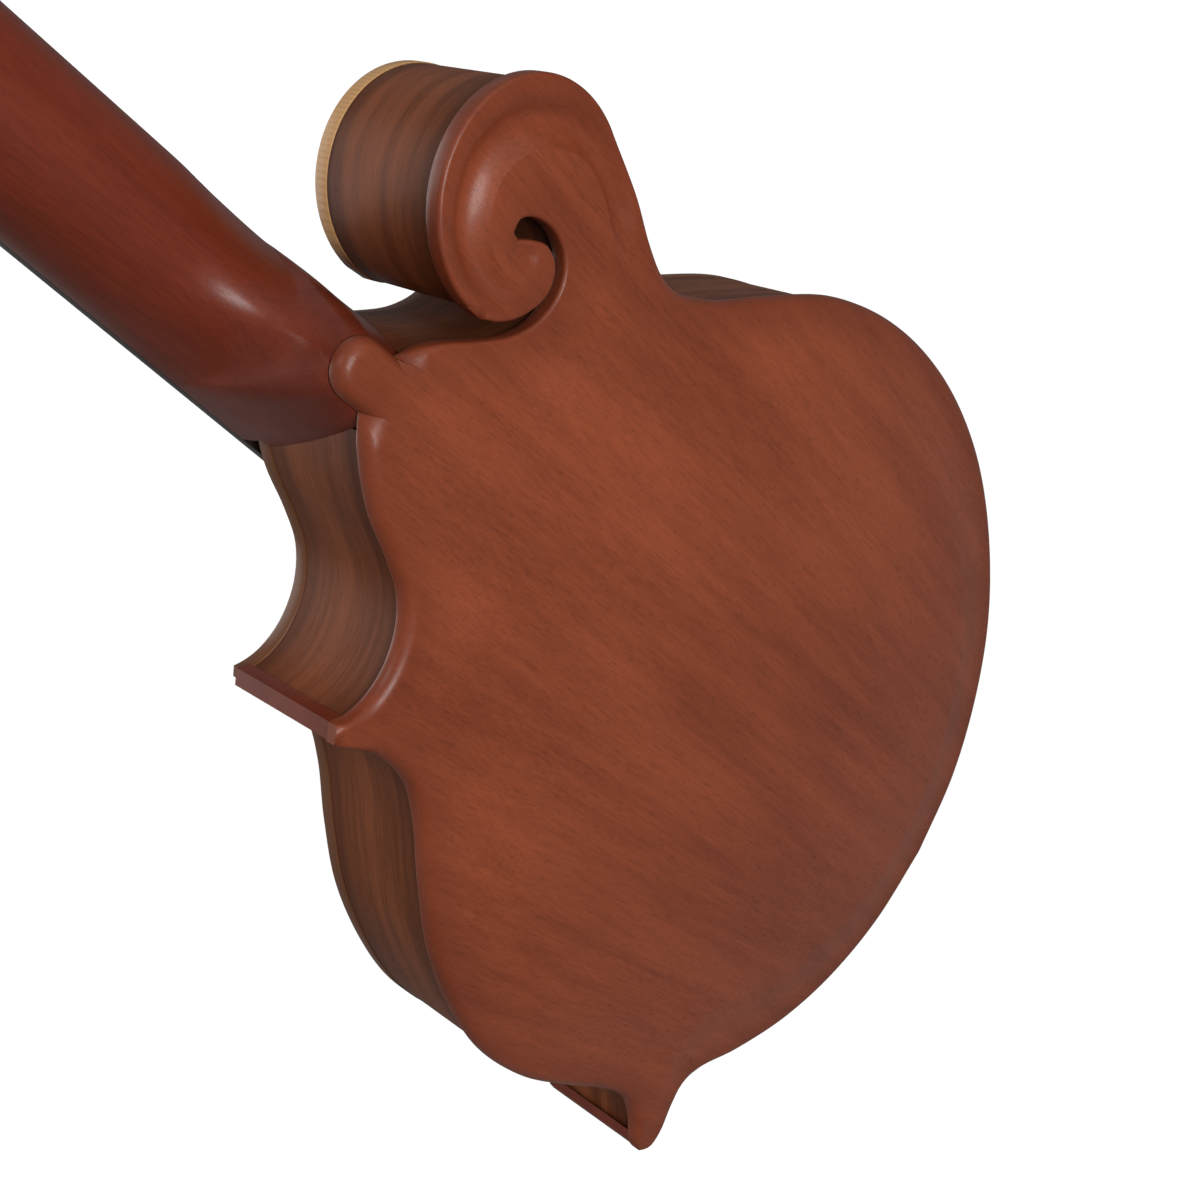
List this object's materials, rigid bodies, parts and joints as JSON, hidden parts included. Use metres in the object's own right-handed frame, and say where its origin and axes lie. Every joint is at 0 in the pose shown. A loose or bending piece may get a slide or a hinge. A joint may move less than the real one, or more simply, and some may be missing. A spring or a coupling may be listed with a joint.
{
  "type": "f-style mandolin",
  "caption": "Carved f-style mandolin with a scroll, two body points, a set neck, paired strings on worm tuners, an adjustable bridge and a covered tailpiece.",
  "frame": {"origin": "middle of the end pin's flat outer face, on the body's centre line at the tail", "axes": "+Z from the tail up to the headstock, +X to the treble side, -Y out of the soundboard, +Y out of the carved back"},
  "size_m": [0.2607, 0.1133, 0.7189],
  "materials": {
    "back_wood": "satin red-brown lacquer over open-pored mahogany",
    "rib_wood": "satin brown lacquer, fine grain along the rib",
    "top_wood": "satin amber lacquer over straight-grained spruce",
    "block_wood": "bare wood inside the box",
    "neck_wood": "satin dark red-brown lacquer",
    "dark_wood": "oiled ebony",
    "bone": "polished bone",
    "black_plastic": "polished black",
    "steel": "plain steel rod",
    "brass": "plain brass",
    "nickel": "polished nickel plate",
    "pearloid": "pale pearly knobs on metal shafts",
    "bronze": "wound bronze and plain steel wire"
  },
  "bodies": {
    "body": {"back_plate": "back_wood", "bass_rib": "rib_wood", "cutaway_rib": "rib_wood", "treble_rib": "rib_wood", "lower_rib": "rib_wood", "top_plate": "top_wood", "neck_block": "block_wood", "scroll_block": "block_wood", "tail_block": "block_wood", "upper_point_block": "block_wood", "lower_point_block": "block_wood", "bass_back_lining": "block_wood", "treble_back_lining": "block_wood", "lower_back_lining": "block_wood", "bass_top_lining": "block_wood", "treble_top_lining": "block_wood", "lower_top_lining": "block_wood", "bass_tone_bar": "block_wood", "treble_tone_bar": "block_wood", "neck": "neck_wood", "fretboard_riser": "neck_wood", "fretboard": "dark_wood", "headstock_veneer": "dark_wood", "bridge_base": "dark_wood", "end_pin": "dark_wood", "nut": "bone", "truss_rod_cover": "black_plastic", "truss_rod": "steel", "tuner_plate_bass": "nickel", "tuner_plate_treble": "nickel", "tailpiece_base": "nickel", "string_g_1": "bronze", "string_g_2": "bronze", "string_d_1": "bronze", "string_d_2": "bronze", "string_a_1": "bronze", "string_a_2": "bronze", "string_e_1": "bronze", "string_e_2": "bronze"},
    "saddle": {"bridge_saddle": "dark_wood"},
    "bass_wheel": {"bass_thumbwheel": "brass"},
    "treble_wheel": {"treble_thumbwheel": "brass"},
    "tail_cover": {"tailpiece_cover": "nickel"},
    "truss_nut": {"truss_rod_nut": "brass"},
    "bass_peg_1": {"bass_knob_1": "pearloid"},
    "bass_capstan_1": {"bass_post_1": "nickel"},
    "bass_peg_2": {"bass_knob_2": "pearloid"},
    "bass_capstan_2": {"bass_post_2": "nickel"},
    "bass_peg_3": {"bass_knob_3": "pearloid"},
    "bass_capstan_3": {"bass_post_3": "nickel"},
    "bass_peg_4": {"bass_knob_4": "pearloid"},
    "bass_capstan_4": {"bass_post_4": "nickel"},
    "treble_peg_1": {"treble_knob_1": "pearloid"},
    "treble_capstan_1": {"treble_post_1": "nickel"},
    "treble_peg_2": {"treble_knob_2": "pearloid"},
    "treble_capstan_2": {"treble_post_2": "nickel"},
    "treble_peg_3": {"treble_knob_3": "pearloid"},
    "treble_capstan_3": {"treble_post_3": "nickel"},
    "treble_peg_4": {"treble_knob_4": "pearloid"},
    "treble_capstan_4": {"treble_post_4": "nickel"}
  },
  "joints": [
    {"name": "saddle_height", "type": "slide", "parent": "body", "child": "saddle", "axis": [0, -1, 0], "range_m": [-0.0012, 0]},
    {"name": "bass_wheel_turn", "type": "hinge", "parent": "saddle", "child": "bass_wheel", "pos_m": [-0.023, -0.04086, 0.20046], "axis": [0, -1, 0], "range_deg": [-630, 630]},
    {"name": "treble_wheel_turn", "type": "hinge", "parent": "saddle", "child": "treble_wheel", "pos_m": [0.023, -0.04086, 0.20046], "axis": [0, -1, 0], "range_deg": [-630, 630]},
    {"name": "tail_cover_slide", "type": "slide", "parent": "body", "child": "tail_cover", "axis": [0, 0.0925, -0.9957], "range_m": [0, 0.075]},
    {"name": "truss_nut_turn", "type": "hinge", "parent": "body", "child": "truss_nut", "pos_m": [0, -0.00091, 0.5579], "axis": [0, 0.0854, 0.9963], "range_deg": [-180, 180]},
    {"name": "bass_knob_turn_1", "type": "hinge", "parent": "body", "child": "bass_peg_1", "pos_m": [0, 0.01841, 0.57492], "axis": [-1, 0, 0], "continuous": true},
    {"name": "bass_post_turn_1", "type": "hinge", "parent": "body", "child": "bass_capstan_1", "pos_m": [-0.0175, 0.00452, 0.58942], "axis": [0, -0.9403, 0.3404], "continuous": true},
    {"name": "bass_knob_turn_2", "type": "hinge", "parent": "body", "child": "bass_peg_2", "pos_m": [0, 0.02624, 0.59655], "axis": [-1, 0, 0], "continuous": true},
    {"name": "bass_post_turn_2", "type": "hinge", "parent": "body", "child": "bass_capstan_2", "pos_m": [-0.0175, 0.01235, 0.61105], "axis": [0, -0.9403, 0.3404], "continuous": true},
    {"name": "bass_knob_turn_3", "type": "hinge", "parent": "body", "child": "bass_peg_3", "pos_m": [0, 0.03407, 0.61818], "axis": [-1, 0, 0], "continuous": true},
    {"name": "bass_post_turn_3", "type": "hinge", "parent": "body", "child": "bass_capstan_3", "pos_m": [-0.0175, 0.02017, 0.63267], "axis": [0, -0.9403, 0.3404], "continuous": true},
    {"name": "bass_knob_turn_4", "type": "hinge", "parent": "body", "child": "bass_peg_4", "pos_m": [0, 0.0419, 0.6398], "axis": [-1, 0, 0], "continuous": true},
    {"name": "bass_post_turn_4", "type": "hinge", "parent": "body", "child": "bass_capstan_4", "pos_m": [-0.0175, 0.028, 0.6543], "axis": [0, -0.9403, 0.3404], "continuous": true},
    {"name": "treble_knob_turn_1", "type": "hinge", "parent": "body", "child": "treble_peg_1", "pos_m": [0, 0.01841, 0.57492], "axis": [1, 0, 0], "continuous": true},
    {"name": "treble_post_turn_1", "type": "hinge", "parent": "body", "child": "treble_capstan_1", "pos_m": [0.0175, 0.00452, 0.58942], "axis": [0, -0.9403, 0.3404], "continuous": true},
    {"name": "treble_knob_turn_2", "type": "hinge", "parent": "body", "child": "treble_peg_2", "pos_m": [0, 0.02624, 0.59655], "axis": [1, 0, 0], "continuous": true},
    {"name": "treble_post_turn_2", "type": "hinge", "parent": "body", "child": "treble_capstan_2", "pos_m": [0.0175, 0.01235, 0.61105], "axis": [0, -0.9403, 0.3404], "continuous": true},
    {"name": "treble_knob_turn_3", "type": "hinge", "parent": "body", "child": "treble_peg_3", "pos_m": [0, 0.03407, 0.61818], "axis": [1, 0, 0], "continuous": true},
    {"name": "treble_post_turn_3", "type": "hinge", "parent": "body", "child": "treble_capstan_3", "pos_m": [0.0175, 0.02017, 0.63267], "axis": [0, -0.9403, 0.3404], "continuous": true},
    {"name": "treble_knob_turn_4", "type": "hinge", "parent": "body", "child": "treble_peg_4", "pos_m": [0, 0.0419, 0.6398], "axis": [1, 0, 0], "continuous": true},
    {"name": "treble_post_turn_4", "type": "hinge", "parent": "body", "child": "treble_capstan_4", "pos_m": [0.0175, 0.028, 0.6543], "axis": [0, -0.9403, 0.3404], "continuous": true}
  ],
  "couplings": [
    {"joint": "bass_wheel_turn", "follows": "saddle_height", "rad_per_m": 8976},
    {"joint": "treble_wheel_turn", "follows": "saddle_height", "rad_per_m": 8976},
    {"joint": "bass_post_turn_1", "follows": "bass_knob_turn_1", "ratio": -0.066667},
    {"joint": "bass_post_turn_2", "follows": "bass_knob_turn_2", "ratio": -0.066667},
    {"joint": "bass_post_turn_3", "follows": "bass_knob_turn_3", "ratio": -0.066667},
    {"joint": "bass_post_turn_4", "follows": "bass_knob_turn_4", "ratio": -0.066667},
    {"joint": "treble_post_turn_1", "follows": "treble_knob_turn_1", "ratio": 0.066667},
    {"joint": "treble_post_turn_2", "follows": "treble_knob_turn_2", "ratio": 0.066667},
    {"joint": "treble_post_turn_3", "follows": "treble_knob_turn_3", "ratio": 0.066667},
    {"joint": "treble_post_turn_4", "follows": "treble_knob_turn_4", "ratio": 0.066667}
  ]
}
